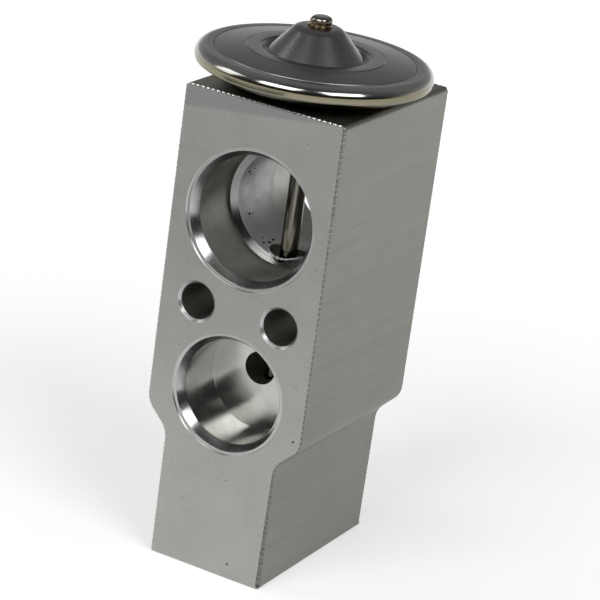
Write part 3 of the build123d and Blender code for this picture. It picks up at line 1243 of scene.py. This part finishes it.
    def burr(self) -> None:
        """Ragged burr on the near edge of the hole round the rod, grown along that edge, in a
        near-white colour that is a painted highlight.
        """
        # Near-white colour: painted highlight on the burr.
        material = BareCut("burr", (0.93, 0.93, 0.92), 0.5).material()
        shape = ShapeTree("burr")
        hole, bore, height, thickness, first, last = (
            shape.size(name) for name in ("hole", "bore", "height", "thickness", "first", "last")
        )
        index = shape.node("GeometryNodeInputIndex").outputs[0]
        share = shape.math("DIVIDE", index, self.burr_points - 1)
        angle = shape.math("MULTIPLY_ADD", share, shape.math("SUBTRACT", last, first), first)
        x = shape.math("MULTIPLY", shape.math("COSINE", angle), hole)
        y = shape.math("MULTIPLY", shape.math("SINE", angle), hole)
        squares = [shape.math("MULTIPLY", value, value) for value in (bore, x)]
        z = shape.math("SUBTRACT", height, shape.math("SQRT", shape.math("SUBTRACT", *squares)))
        line = shape.node("GeometryNodeMeshLine", self.burr_points).outputs[0]
        line = shape.node("GeometryNodeSetPosition", line)
        shape.feed(line.inputs["Position"], shape.vector(x, y, z))
        path = shape.node("GeometryNodeMeshToCurve", line.outputs[0]).outputs[0]
        noise = shape.node("ShaderNodeTexNoise")
        noise.inputs["Scale"].default_value = self.burr_scale
        ragged = shape.math("MULTIPLY_ADD", noise.outputs[0], 2.4, -0.5)
        ragged = shape.math("MULTIPLY", ragged, thickness)
        ring = shape.node("GeometryNodeCurvePrimitiveCircle", self.burr_sides, 1.0)
        tube = shape.node("GeometryNodeCurveToMesh", path, ring.outputs[0])
        shape.feed(tube.inputs["Scale"], shape.math("MAXIMUM", ragged, self.burr_least * MM))
        tube.inputs["Fill Caps"].default_value = True
        shape.close(tube.outputs[0], material)
        piece = new_object("burr", bmesh.new(), [])
        start, end = (math.radians(angle) for angle in self.burr_span)
        shape.run(
            piece, hole=self.burr_hole * MM, bore=self.suction.through * MM,
            height=self.suction.height * MM, thickness=self.burr_thickness * MM,
            first=start, last=end,
        )
        mount(piece, Body.HOUSING, Slot.BLOCK)

    def cutters(self) -> list[Piece]:
        """What the bar is cut with.

        Returns:
            Cutters of every port, hole, bore and pit, in the order in which they cut.
        """
        inner = Hole(
            Face.FRONT, self.suction.height, self.suction.through, self.depth,
            Skin.SUCTION_INNER, TURNED_FACETS,
        )
        outlet_depth = self.setback + self.outlet_hole
        liquid_depth = self.depth - self.setback
        bores = [Corner(radius, height, skin=Skin.DRILLED) for radius, height in self.axis_bores]
        return [
            self.port(self.suction),
            self.port(replace(self.suction, face=Face.REAR)),
            self.drilled(inner),
            self.port(self.outlet),
            self.drilled(Hole(Face.FRONT, self.outlet_hole_height, self.outlet_hole, outlet_depth)),
            self.port(self.liquid),
            self.drilled(Hole(Face.REAR, self.liquid_hole_height, self.liquid_hole, liquid_depth)),
            self.bolt_hole(-1),
            self.bolt_hole(1),
            turned("axis", bores, self.materials, facets=SMALL_FACETS),
            self.pits(),
        ]

    def build(self) -> None:
        """Cuts every port, hole and bore into the bar, and adds the burr."""
        self.materials = self.finishes()
        block = self.bar()
        for cutter in self.cutters():
            carve(block, cutter)
        shade(block)
        work = bmesh.new()
        work.from_mesh(block.data)
        bmesh.ops.holes_fill(work, edges=[edge for edge in work.edges if edge.is_boundary], sides=0)
        for edge in work.edges:
            if sum(face.material_index == Skin.PIT for face in edge.link_faces) == 1:
                edge.smooth = False
        work.to_mesh(block.data)
        work.free()
        mount(block, Body.HOUSING, Slot.BLOCK, "valve_block")
        self.burr()


@dataclass
class PowerHead:
    """Head of the valve: pressed cover, dished housing and charging pin.

    Attributes:
        base: Height of the block's top, which the head sits on.
        clamp: Height at which the cover meets the housing.
        rim: Radius of the head.
        crest: Height of the rim's top above the base, as are plate, moat_floor, dome_height,
            cup_waist_height, cup_lip_height and plug_top.
        groove_shade_half: Half the width of the painted shade line in a groove.
        dome_slope: Slope of the dome's inner wall, in degrees.
        stem: Radius of the charging hole.
        pin_lean: How far the pin's top leans to the right.
        pin_pinch: How much the pin's head is pinched out of round.
    """

    base: float = 88.7
    clamp: float = 92.8
    rim: float = 21.25
    crest: float = 6.05
    rim_rounding: float = 1.75
    rim_inset: float = 0.55
    wall: float = 0.9
    outer_groove: float = 17.95
    inner_groove: float = 12.4
    groove_depth: float = 0.16
    groove_shade_half: float = 0.14
    plate: float = 6.75
    moat: float = 9.7
    moat_floor: float = 6.1
    dome_base: float = 8.6
    dome_shoulder: float = 4.1
    dome_height: float = 11.25
    dome_rounding: float = 2.3
    dome_slope: float = 24.0
    stem: float = 1.32
    cup_base: float = 13.0
    cup_waist: float = 18.2
    cup_waist_height: float = 1.9
    cup_rim: float = 21.1
    cup_lip_height: float = 3.35
    cup_floor: float = 90.15
    cup_bore: float = 17.6
    neck_radius: float = 8.97
    neck_bore: float = 4.6
    neck_bottom: float = 82.7
    plug_top: float = 13.15
    pin_lean: float = 0.3
    pin_pinch: float = 0.02

    def steel(self) -> Material:
        """Steel of the cover: painted shade in its grooves, its moat and on the dome, a lighter rim
        for its painted highlight, and glossy on its rim.
        """
        outer, inner, line = self.outer_groove, self.inner_groove, self.groove_shade_half
        base, moat = self.dome_base, self.moat
        # Painted shade in the grooves, the moat and on the dome, and the rim left at full colour
        # for its painted highlight.
        shade_and_highlight = (
            (0.0, 0.6), (3.4, 0.55), (4.6, 0.52), (base - 0.4, 0.56), (base + 0.3, 0.45),
            (moat, 0.35), (moat + 0.4, 0.6), (inner - line, 0.68), (inner, 0.25),
            (inner + line, 0.55), (outer - line, 0.55), (outer, 0.2), (outer + line, 0.6),
            (19.3, 0.64), (20.0, 1.0), (22.0, 1.0),
        )
        gloss = (
            (0.0, 0.32), (3.4, 0.3), (4.6, 0.28), (moat, 0.28), (moat + 0.6, 0.27), (inner, 0.3),
            (19.0, 0.33), (19.8, 0.16), (22.0, 0.13),
        )
        tint_height = self.clamp + 0.45
        return PressedSteel(
            "pressed_cover", (0.44, 0.44, 0.43), 0.14,
            shade_and_highlight=shade_and_highlight, gloss=gloss, warm_height=tint_height,
        ).material()

    def cover(self) -> None:
        """Pressed upper half of the head, with its rim, grooves, moat and dome."""
        depth, wall = self.groove_depth, self.wall
        crest, plate, moat, top = (
            self.base + rise for rise in (self.crest, self.plate, self.moat_floor, self.dome_height)
        )
        slant = wall * math.tan(math.radians(self.dome_slope))
        corners = [
            Corner(self.rim, self.clamp, 0.12),
            Corner(self.rim, crest, self.rim_rounding),
            Corner(self.outer_groove + depth, crest - depth * 0.2, 0.1),
            Corner(self.outer_groove, crest - 1.4 * depth, 0.08),
            Corner(self.outer_groove - depth, crest + depth * 0.2, 0.1),
            Corner(self.inner_groove + depth, plate - depth / 2, 0.1),
            Corner(self.inner_groove, plate - depth, 0.08),
            Corner(self.inner_groove - depth, plate, 0.1),
            Corner(self.moat, plate, 0.5),
            Corner(self.moat - 0.4, moat, 0.3),
            Corner(self.dome_base, moat, 0.6),
            Corner(self.dome_shoulder, top, self.dome_rounding),
            Corner(self.stem, top),
            Corner(self.stem, top - wall),
            Corner(self.dome_shoulder - slant, top - wall, 0.6),
            Corner(self.dome_base - slant, moat - wall),
            Corner(self.moat + wall, moat - wall),
            Corner(self.moat + wall, plate - wall),
            Corner(self.cup_bore, crest - wall - depth),
            Corner(self.cup_bore, self.clamp + 0.25),
            Corner(self.rim - self.rim_inset, self.clamp + 0.25),
            Corner(self.rim - self.rim_inset, self.clamp),
        ]
        piece = turned("pressed_cover", corners, [self.steel()], closed=True, facets=HEAD_FACETS)
        mount(piece, Body.HOUSING, Slot.HEAD, "head_cover")

    def housing(self) -> None:
        """Dished lower half of the head, with the neck that screws into the block."""
        material = PressedSteel(
            "dished_housing", (0.2, 0.186, 0.135), 0.06, spangle_low=0.0, draw_depth=0.0006
        ).material()
        base = self.base
        corners = [
            Corner(self.neck_bore, self.neck_bottom),
            Corner(self.neck_radius, self.neck_bottom, 0.5),
            Corner(self.neck_radius, base),
            Corner(self.cup_base, base, 3.0),
            Corner(self.cup_waist, base + self.cup_waist_height, 6.0),
            Corner(self.cup_rim, base + self.cup_lip_height, 0.5),
            Corner(self.cup_rim, self.clamp),
            Corner(self.cup_bore, self.clamp),
            Corner(self.cup_bore, self.clamp - 0.6, 0.4),
            Corner(self.cup_waist - 2.4, self.cup_floor, 1.0),
            Corner(self.neck_bore, self.cup_floor),
        ]
        piece = turned("dished_housing", corners, [material], closed=True, facets=HEAD_FACETS)
        mount(piece, Body.HOUSING, Slot.HOUSING, "head_housing")

    def pin(self) -> None:
        """Pin in the charging hole, pinched and soldered, so its head isn't quite round."""
        material = SolderedPin("soldered_pin", (0.27, 0.265, 0.25), 0.2).material()
        top = self.base + self.plug_top
        dome = self.base + self.dome_height
        shank = self.stem - 0.02
        corners = [
            Corner(0, dome - self.wall),
            Corner(shank, dome - self.wall),
            Corner(shank, dome - 0.05),
            Corner(2.45, dome - 0.02, 0.1),
            Corner(1.92, dome + 0.3, 0.4),
            Corner(2.15, top - 0.02, 0.85),
            Corner(0, top - 0.02),
        ]
        piece = turned("charging_pin", corners, [material], facets=SMALL_FACETS)
        for vert in piece.data.vertices:
            lean = max(vert.co.z / MM - dome, 0) / (top - dome)
            angle = math.atan2(vert.co.y, vert.co.x)
            pinch = 2 - math.sin(2 * angle + 0.6) - math.sin(5 * angle)
            grow = 1 - lean * self.pin_pinch * pinch
            vert.co.x = vert.co.x * grow + self.pin_lean * lean * MM
            vert.co.y *= grow
        shade(piece)
        mount(piece, Body.HOUSING, Slot.HEAD, "charge_plug")

    def build(self) -> None:
        """Builds the three pieces of the head that show."""
        self.cover()
        self.housing()
        self.pin()


@dataclass
class Internals:
    """Rod, spring and the small parts on the valve's axis."""

    rod_radius: float = 1.6
    rod_bottom: float = 31.36
    rod_top: float = 90.96
    tip_radius: float = 0.9
    tip_length: float = 4.2
    spring_bottom: float = 10.82
    spring_top: float = 19.88

    def rod(self) -> None:
        """Sensing rod with its thin tip."""
        material = GroundRod("ground_rod", (0.15, 0.142, 0.12), 0.18).material()
        tip_top = self.rod_bottom + self.tip_length
        corners = [
            Corner(0, self.rod_bottom),
            Corner(self.tip_radius, self.rod_bottom, 0.15),
            Corner(self.tip_radius, tip_top, 0.3),
            Corner(self.rod_radius, tip_top + self.rod_radius - self.tip_radius, 0.2),
            Corner(self.rod_radius, self.rod_top, 0.2),
            Corner(0, self.rod_top),
        ]
        piece = turned("rod", corners, [material], facets=SMALL_FACETS)
        mount(piece, Body.VALVE_PIN, Slot.ROD, "sensing_rod")

    def coil(self, node: Piece, material: Material, *joined: Body) -> None:
        """Half of the spring, cut from a copy of its CAD node.

        Args:
            node: The spring's CAD node.
            material: The spring's material.
            joined: Two bodies; the half is the upper one when the first is the housing.
        """
        middle = (self.spring_bottom + self.spring_top) / 2
        upper = joined[0] is Body.HOUSING
        work = bmesh.new()
        work.from_mesh(node.data)
        work.transform(Matrix.Scale(1 / MM, 4) @ node.matrix_world)
        bmesh.ops.remove_doubles(work, verts=work.verts, dist=WELD)
        bmesh.ops.bisect_plane(
            work,
            geom=[*work.verts, *work.edges, *work.faces],
            dist=WELD,
            plane_co=(0, 0, middle),
            plane_no=(0, 0, 1),
            clear_inner=upper,
            clear_outer=not upper,
        )
        bmesh.ops.holes_fill(work, edges=[edge for edge in work.edges if edge.is_boundary])
        bmesh.ops.recalc_face_normals(work, faces=work.faces)
        piece = new_object("spring_upper_half" if upper else "spring_lower_half", work, [material])
        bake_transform(piece)
        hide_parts(node.name)
        LOG.info("%s: %d faces", piece.name, len(piece.data.polygons))

    def build(self, nodes: dict[str, Piece]) -> None:
        """Builds the rod and the spring and dresses the CAD nodes that stay.

        Args:
            nodes: CAD nodes by name.
        """
        self.rod()
        brass = PlainMetal("brass", (0.62, 0.43, 0.17), 0.28).material()
        spring = PlainMetal("spring_wire", (0.36, 0.35, 0.34), 0.34).material()
        sheet = PlainMetal("clip_sheet", (0.52, 0.51, 0.48), 0.3).material()
        ball = PlainMetal("ball_polish", (0.62, 0.62, 0.62), 0.12, change=0.03).material()
        rubber = SealRubber("seal_rubber", (0.02, 0.022, 0.02), 0.55).material()
        for material, names in (
            (brass, ("ball_carrier", "adjusting_screw")),
            (sheet, ("diaphragm", "diaphragm_pad", "rod_seal_retainer", "antivibration_clip")),
            (rubber, ("rod_seal", "head_seal", "screw_seal")),
            (ball, ("valve_ball",)),
        ):
            for name in names:
                paint(nodes[name], material)
        self.coil(nodes["superheat_spring"], spring, Body.SCREW_CARRIAGE, Body.HOUSING)
        self.coil(nodes["superheat_spring"], spring, Body.HOUSING, Body.VALVE_PIN)


def towards(azimuth: float, elevation: float) -> Vector:
    """Direction at an azimuth and an elevation in degrees, out from the front face."""
    az, el = math.radians(azimuth), math.radians(elevation)
    return Vector((math.sin(az) * math.cos(el), -math.cos(az) * math.cos(el), math.sin(el)))


@dataclass
class Softbox:
    """One soft lamp.

    Attributes:
        azimuth: Degrees from the block's front face towards its right side.
        elevation: Degrees above the floor.
        distance: Metres from the middle of the valve.
        width: Width of the lamp in metres.
        height: Height of the lamp in metres.
        power: Watts.
    """

    azimuth: float
    elevation: float
    distance: float
    width: float
    height: float
    power: float

    def build(self, name: str, target: Vector) -> None:
        """Hangs the lamp.

        Args:
            name: Name of the lamp.
            target: Point that it faces, in metres.
        """
        light = bpy.data.lights.new(name, "AREA")
        light.shape = "RECTANGLE"
        light.size, light.size_y = self.width, self.height
        light.energy = self.power
        lamp = bpy.data.objects.new(name, light)
        bpy.context.scene.collection.objects.link(lamp)
        back = towards(self.azimuth, self.elevation)
        lamp.location = target + back * self.distance
        lamp.rotation_euler = back.to_track_quat("Z", "Y").to_euler()


@dataclass
class Studio:
    """Floor, room, lamps and camera.

    Attributes:
        azimuth: Degrees of the camera from the block's front face towards its right side.
        elevation: Degrees of the camera above the floor.
        roll: Degrees that the camera is tilted.
        distance: Distance of the camera from the pivot.
        shift_right: How far the valve is moved to the right in the picture.
        shift_up: How far it is moved up.
        focal_px: Focal length in pixels of a picture that is image_px wide.
        pivot: Point that the camera is aimed from.
        floor_gap: Gap between the foot and the floor.
        floor_ramp: Distances between which the floor brightens.
        floor_glow: The floor's own light at those distances.
        horizon: Heights of the view and how pale the room is there.
        flag_place: Middle of the dark card.
        lamp_target: Point that the lamps face, in metres.
    """

    azimuth: float = 26.95
    elevation: float = 19.948
    roll: float = 7.96
    distance: float = 514.837
    shift_right: float = -2.789
    shift_up: float = -7.205
    focal_px: float = 2816.93
    image_px: float = 600.0
    sensor: float = 36.0
    clip: tuple[float, float] = (0.01, 20)
    pivot: Point = (0, 3.2, 40.0)
    floor_radius: float = 3000.0
    floor_gap: float = 0.05
    floor_ramp: tuple[float, float] = (40.0, 450.0)
    floor_glow: tuple[float, float] = (0.44, 0.93)
    floor_colour: Colour = (0.8, 0.8, 0.8)
    room_front: Colour = (0.03, 0.03, 0.032)
    room_back: Colour = (0.2, 0.2, 0.2)
    room_pale: Colour = (1.0, 1.0, 1.0)
    horizon: Stops = ((0.0, 1.0), (0.06, 1.0), (0.2, 0.2), (0.45, 0.0), (1.0, 0.0))
    flag_place: Point = (-90.0, -165.0, 23.0)
    flag_size: tuple[float, float] = (240.0, 38.0)
    flag_colour: Colour = (0.03, 0.03, 0.033)
    lamp_target: Point = (0, 0.003, 0.05)
    softboxes: tuple[Softbox, ...] = field(
        default_factory=lambda: (
            Softbox(-7, 43, 0.75, 0.42, 0.32, 2.2),
            Softbox(63, 43, 0.75, 0.42, 0.32, 2.2),
            Softbox(-66, 30, 0.75, 0.3, 0.4, 0.8),
        )
    )

    def camera(self) -> None:
        """Camera at the photograph's place."""
        az, roll = math.radians(self.azimuth), math.radians(self.roll)
        back = towards(self.azimuth, self.elevation)
        right = Vector((math.cos(az), math.sin(az), 0))
        up = back.cross(right)
        turned_right = right * math.cos(roll) + up * math.sin(roll)
        turned_up = up * math.cos(roll) - right * math.sin(roll)
        place = Vector(self.pivot) + back * self.distance
        place -= turned_right * self.shift_right + turned_up * self.shift_up
        data = bpy.data.cameras.new("camera")
        data.sensor_width = self.sensor
        data.lens = self.focal_px / self.image_px * self.sensor
        data.clip_start, data.clip_end = self.clip
        made = bpy.data.objects.new("camera", data)
        bpy.context.scene.collection.objects.link(made)
        axes = Matrix((turned_right, turned_up, back)).transposed().to_4x4()
        made.matrix_world = Matrix.Translation(place * MM) @ axes
        bpy.context.scene.camera = made

    def floor(self) -> None:
        """Pale floor, a little brighter of itself where the lamps reach it less."""
        tree = ShaderTree("pale_floor")
        rays = tree.node("ShaderNodeLightPath")
        seen = tree.math("MAXIMUM", rays.outputs["Is Camera Ray"], rays.outputs["Is Glossy Ray"])
        seen = tree.math("MAXIMUM", seen, rays.outputs["Is Transmission Ray"])
        share = tree.span(tree.length(tree.place()), *self.floor_ramp, *self.floor_glow)
        tree.finish(self.floor_colour, 0.8, metallic=0.0)
        tree.shader.inputs["Emission Color"].default_value = (1, 1, 1, 1)
        tree.feed(tree.shader.inputs["Emission Strength"], tree.math("MULTIPLY", seen, share))
        outline = [Corner(0, -self.floor_gap), Corner(self.floor_radius, -self.floor_gap)]
        floor = turned("floor", outline, [tree.material], facets=SMALL_FACETS)

    def flag(self) -> None:
        """Dark card in front of the block, which only reflections show."""
        tree = ShaderTree("dark_card")
        tree.finish(self.flag_colour, 0.9, metallic=0.0)
        wide, high = (size / 2 for size in self.flag_size)
        work = bmesh.new()
        corners = [(-wide, -high), (wide, -high), (wide, high), (-wide, high)]
        work.faces.new([work.verts.new((x, 0, z)) for x, z in corners])
        place = Vector(self.flag_place)
        turn = math.atan2(place.x, -place.y)
        bmesh.ops.rotate(work, matrix=Matrix.Rotation(turn, 3, "Z"), verts=work.verts)
        bmesh.ops.translate(work, vec=place, verts=work.verts)
        card = new_object("dark_card", work, [tree.material])
        card.visible_camera = card.visible_diffuse = card.visible_shadow = False
        card.visible_transmission = card.visible_volume_scatter = False

    def room(self) -> None:
        """Room round the floor, darker behind the camera, the same for it as in reflections."""
        world = bpy.data.worlds.new("room")
        bpy.context.scene.world = world
        world.use_nodes = True
        tree = NodeTree(world.node_tree)
        background = world.node_tree.nodes["Background"]
        direction = tree.node("ShaderNodeTexCoord").outputs["Generated"]
        front = towards(self.azimuth, 0.0)
        facing = tree.node("ShaderNodeVectorMath", direction, front, operation="DOT_PRODUCT")
        forward = facing.outputs["Value"]
        walls = tree.mix(tree.span(forward, -0.4, 0.5), self.room_back, self.room_front)
        low = tree.curve(tree.axis(direction, "Z"), self.horizon)
        pale = tree.math("MULTIPLY", low, tree.span(forward, -0.3, 0.2, 1.0, 0.0))
        tree.feed(background.inputs["Color"], tree.mix(pale, walls, self.room_pale))
        background.inputs["Strength"].default_value = 1.0

    def build(self) -> None:
        """Sets up the whole studio."""
        self.camera()
        self.floor()
        self.flag()
        self.room()
        for index, softbox in enumerate(self.softboxes):
            softbox.build(f"softbox_{index + 1}", Vector(self.lamp_target))
        bpy.context.scene.view_settings.view_transform = "Standard"


def main() -> None:
    """Builds the scene round the frame and writes how large it is."""
    logging.basicConfig(level=logging.INFO, format="%(name)s: %(message)s")
    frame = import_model()
    Block().build()
    PowerHead().build()
    Internals().build(frame["nodes"])
    Studio().build()


if __name__ == "__main__":
    main()
